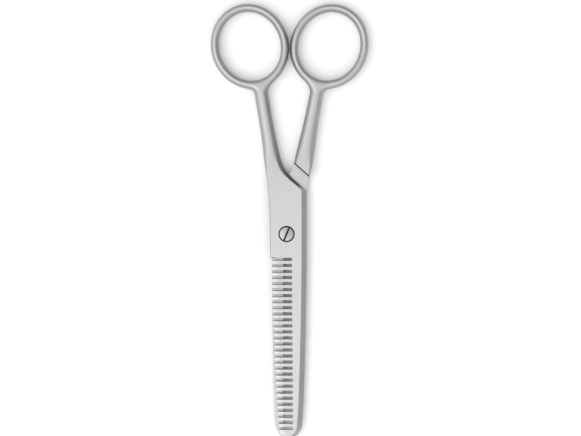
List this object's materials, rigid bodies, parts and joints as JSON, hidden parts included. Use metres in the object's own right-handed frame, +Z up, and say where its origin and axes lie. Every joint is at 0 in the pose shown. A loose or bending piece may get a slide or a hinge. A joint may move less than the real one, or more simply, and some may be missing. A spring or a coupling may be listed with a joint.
{
  "type": "thinning shears",
  "caption": "Closed thinning shears lying flat: a toothed half and a straight half, each with a finger ring, turning on a slotted pivot screw.",
  "frame": {"origin": "middle of the closed shears' outline, on the surface that they lie on", "axes": "+Y along the shears towards the finger rings, +X across them towards the straight half's ring, +Z up out of the surface, along the pivot screw towards its head"},
  "size_m": [0.06, 0.1648, 0.0053],
  "materials": {
    "blade_steel": "satin, fine brushed stainless steel",
    "screw_steel": "turned stainless steel",
    "washer_nylon": "matte black"
  },
  "bodies": {
    "straight": {"straight_half": "blade_steel"},
    "toothed": {"toothed_half": "blade_steel"},
    "screw": {"pivot_screw": "screw_steel", "tension_washer": "washer_nylon"}
  },
  "joints": [
    {"name": "blade_pivot", "type": "hinge", "parent": "straight", "child": "toothed", "pos_m": [-0.00114, -0.005, 0.00265], "axis": [0, 0, 1], "range_deg": [0, 140]},
    {"name": "tension_adjust", "type": "hinge", "parent": "straight", "child": "screw", "pos_m": [-0.00114, -0.005, 0.00265], "axis": [0, 0, 1], "range_deg": [-90, 90]}
  ]
}
